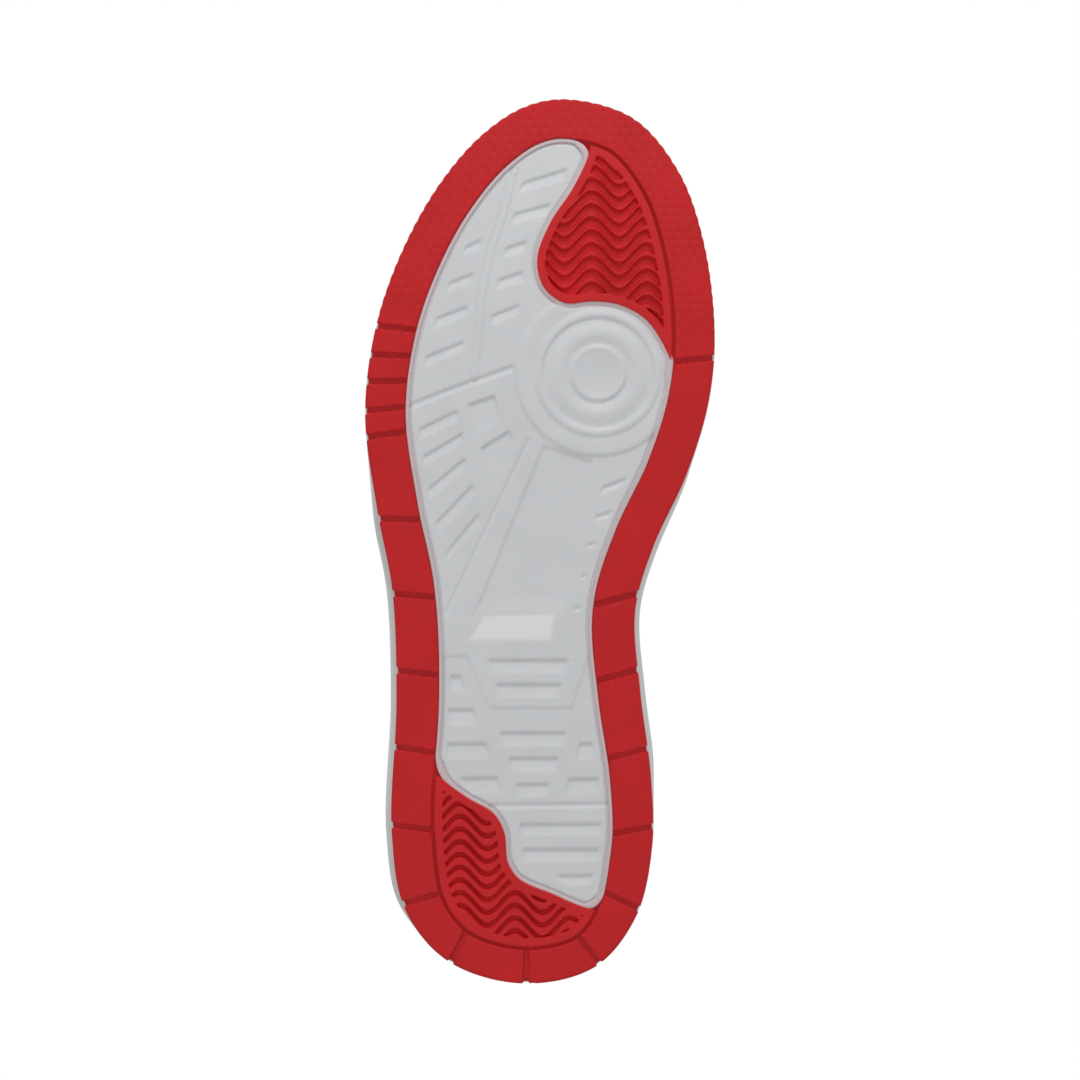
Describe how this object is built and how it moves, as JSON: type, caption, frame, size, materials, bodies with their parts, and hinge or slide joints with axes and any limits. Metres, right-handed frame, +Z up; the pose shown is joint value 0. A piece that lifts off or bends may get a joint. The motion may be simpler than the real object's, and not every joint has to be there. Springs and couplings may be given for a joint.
{
  "type": "bowling shoe",
  "caption": "Low-cut laced bowling shoe, right foot, with a slotted red rubber rim sole, wavy tread pads and a white moulded sole plate.",
  "frame": {"origin": "under the middle of the shoe, on the ground that the sole stands on", "axes": "+Y from toe to heel, +X to the inner side of a right foot, +Z up from the ground"},
  "size_m": [0.1188, 0.3008, 0.1229],
  "materials": {
    "red_rubber": "satin",
    "white_rubber": "satin",
    "white_foam": "matt",
    "board": "matt",
    "insole_foam": "matt",
    "lining_textile": "matt",
    "white_leather": "satin",
    "red_leather": "satin",
    "webbing": "matt",
    "eyelet_metal": "polished",
    "lace_textile": "matt",
    "clear_plastic": "gloss"
  },
  "bodies": {
    "shoe": {"outsole_rim": "red_rubber", "toe_tread_pad": "red_rubber", "heel_tread_pad": "red_rubber", "sole_plate": "white_rubber", "midsole": "white_foam", "strobel_board": "board", "collar_lining": "lining_textile", "toe_cap": "white_leather", "heel_counter": "red_leather", "heel_patch": "white_leather", "heel_pull_loop": "webbing", "vamp": "white_leather", "quarter_lateral": "white_leather", "eyestay_lateral": "red_leather", "side_stripe_front_lateral": "red_leather", "side_stripe_rear_lateral": "red_leather", "eyelet_lateral_1": "eyelet_metal", "eyelet_lateral_2": "eyelet_metal", "eyelet_lateral_3": "eyelet_metal", "eyelet_lateral_4": "eyelet_metal", "eyelet_lateral_5": "eyelet_metal", "eyelet_lateral_6": "eyelet_metal", "quarter_medial": "white_leather", "eyestay_medial": "red_leather", "side_stripe_front_medial": "red_leather", "side_stripe_rear_medial": "red_leather", "eyelet_medial_1": "eyelet_metal", "eyelet_medial_2": "eyelet_metal", "eyelet_medial_3": "eyelet_metal", "eyelet_medial_4": "eyelet_metal", "eyelet_medial_5": "eyelet_metal", "eyelet_medial_6": "eyelet_metal", "lace": "lace_textile", "aglet_lateral": "clear_plastic", "aglet_medial": "clear_plastic"},
    "insole": {"insole": "insole_foam"},
    "tongue": {"tongue": "white_leather", "tongue_patch": "red_leather"}
  },
  "joints": [
    {"name": "insole_lift", "type": "hinge", "parent": "shoe", "child": "insole", "pos_m": [0.006, -0.1378, 0.0245], "axis": [1, 0, 0], "range_deg": [0, 7]},
    {"name": "tongue_press", "type": "hinge", "parent": "shoe", "child": "tongue", "pos_m": [0, -0.058, 0.058], "axis": [1, 0, 0], "range_deg": [-4, 0], "stiffness_Nm_per_rad": 0.6}
  ]
}
